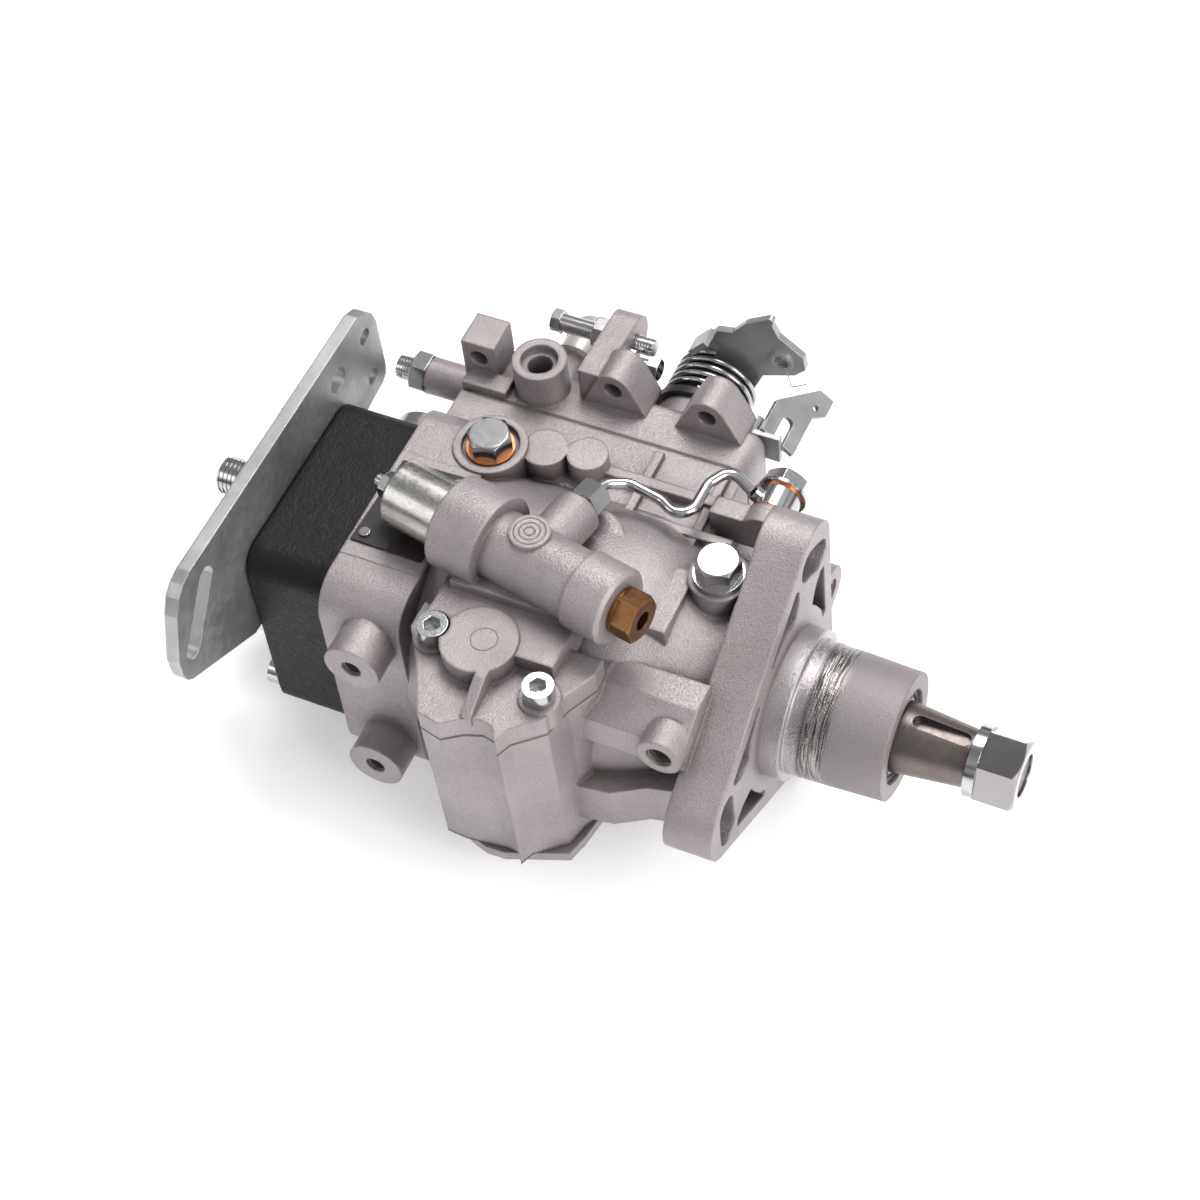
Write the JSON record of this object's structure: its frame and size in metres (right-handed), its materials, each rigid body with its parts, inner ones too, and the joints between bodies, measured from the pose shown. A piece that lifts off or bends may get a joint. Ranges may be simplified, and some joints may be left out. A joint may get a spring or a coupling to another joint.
{
  "type": "diesel distributor injection pump",
  "caption": "Distributor-type diesel injection pump with drive shaft, mounting flange, governor cover, throttle lever, stop solenoid, cold-start unit and delivery outlets.",
  "frame": {"origin": "centre of the mounting pilot, on the front face of the mounting flange", "axes": "+X along the drive shaft, out of the drive end; +Y towards the governor cover; +Z towards the cold-start unit"},
  "size_m": [0.2788, 0.1874, 0.1279],
  "materials": {
    "cast_aluminium": "sand-cast, bead blasted",
    "zinc_steel": "bright zinc plate",
    "bare_steel": "ground and oiled",
    "black_iron": "black phosphated",
    "brass": "turned",
    "copper": "soft annealed",
    "black_rubber": "moulded",
    "black_plastic": "moulded",
    "gasket_fibre": "pressed fibre",
    "plate_enamel": "satin black"
  },
  "bodies": {
    "housing": {"pump_housing": "cast_aluminium", "governor_cover": "cast_aluminium", "cold_start_housing": "cast_aluminium", "timing_cover": "cast_aluminium", "socket_screws": "zinc_steel", "rear_support_plate": "zinc_steel", "delivery_valve_holders": "zinc_steel", "hex_nuts": "zinc_steel", "adjusting_screws": "zinc_steel", "spring_bracket": "zinc_steel", "pressure_pipe": "zinc_steel", "union_nut": "zinc_steel", "banjo_bolt": "zinc_steel", "housing_plugs": "zinc_steel", "stop_solenoid": "zinc_steel", "cold_start_valve": "zinc_steel", "nameplate_rivets": "zinc_steel", "return_bolt": "zinc_steel", "return_union": "zinc_steel", "throttle_spring": "bare_steel", "supply_pump_ring": "bare_steel", "supply_pump_plate": "bare_steel", "governor_shaft": "bare_steel", "governor_spring": "bare_steel", "lever_pivot_pin": "bare_steel", "plunger_springs": "bare_steel", "distributor_barrel": "bare_steel", "delivery_valves": "bare_steel", "timing_spring": "bare_steel", "head_centre_plug": "bare_steel", "distributor_head": "black_iron", "brass_plug": "brass", "drive_bushing": "brass", "sealing_washers": "copper", "throttle_boot": "black_rubber", "shaft_seal": "black_rubber", "terminal_insulators": "black_plastic", "gaskets": "gasket_fibre", "nameplate": "plate_enamel"},
    "drive": {"drive_shaft": "bare_steel", "lock_washer": "bare_steel", "shaft_nut": "zinc_steel", "supply_pump_rotor": "bare_steel", "supply_pump_vanes": "bare_steel", "governor_drive_gear": "bare_steel", "cross_disc": "bare_steel"},
    "governor": {"governor_gear": "bare_steel", "governor_flyweights": "bare_steel"},
    "sleeve": {"governor_sleeve": "bare_steel"},
    "lever": {"governor_lever": "bare_steel"},
    "spill": {"spill_ring": "bare_steel"},
    "bridge": {"spring_bridge": "bare_steel"},
    "cam": {"cam_plate": "bare_steel", "distributor_plunger": "bare_steel"},
    "advance": {"timing_piston": "bare_steel"},
    "ring": {"roller_ring": "bare_steel", "cam_rollers": "bare_steel"},
    "stop": {"solenoid_plunger": "bare_steel"},
    "throttle": {"throttle_shaft": "bare_steel", "throttle_lever": "zinc_steel"}
  },
  "joints": [
    {"name": "drive_turn", "type": "hinge", "parent": "housing", "child": "drive", "pos_m": [0, 0, 0], "axis": [1, 0, 0], "continuous": true},
    {"name": "governor_turn", "type": "hinge", "parent": "housing", "child": "governor", "pos_m": [-0.05, 0.045, 0], "axis": [1, 0, 0], "continuous": true},
    {"name": "plunger_lift", "type": "slide", "parent": "housing", "child": "bridge", "axis": [1, 0, 0], "range_m": [0, 0.0022], "deforming": ["plunger_springs"]},
    {"name": "cam_turn", "type": "hinge", "parent": "bridge", "child": "cam", "pos_m": [-0.094, 0, 0], "axis": [1, 0, 0], "continuous": true},
    {"name": "timing_advance", "type": "slide", "parent": "housing", "child": "advance", "axis": [0, 0, -1], "range_m": [0, 0.006], "deforming": ["timing_spring"]},
    {"name": "ring_turn", "type": "hinge", "parent": "housing", "child": "ring", "pos_m": [-0.075, 0, 0], "axis": [1, 0, 0], "range_deg": [0, 6.6]},
    {"name": "lever_swing", "type": "hinge", "parent": "housing", "child": "lever", "pos_m": [-0.111, 0.032, 0], "axis": [0, 0, 1], "range_deg": [0, 7], "deforming": ["governor_spring"]},
    {"name": "sleeve_slide", "type": "slide", "parent": "housing", "child": "sleeve", "axis": [-1, 0, 0], "range_m": [0, 0.0016]},
    {"name": "spill_slide", "type": "slide", "parent": "housing", "child": "spill", "axis": [1, 0, 0], "range_m": [0, 0.0028]},
    {"name": "stop_pull", "type": "slide", "parent": "housing", "child": "stop", "axis": [0, 1, 0], "range_m": [0, 0.0025]},
    {"name": "throttle_turn", "type": "hinge", "parent": "housing", "child": "throttle", "pos_m": [-0.0655, 0.09, 0.0187], "axis": [0, -1, 0], "range_deg": [0, 50], "stiffness_Nm_per_rad": 0.02, "springref_deg": -28.65}
  ],
  "couplings": [
    {"joint": "governor_turn", "follows": "drive_turn", "ratio": -1.6087},
    {"joint": "cam_turn", "follows": "drive_turn", "ratio": 1},
    {"joint": "ring_turn", "follows": "timing_advance", "rad_per_m": 18.868},
    {"joint": "sleeve_slide", "follows": "lever_swing", "m_per_rad": 0.013},
    {"joint": "spill_slide", "follows": "lever_swing", "m_per_rad": 0.0222}
  ]
}
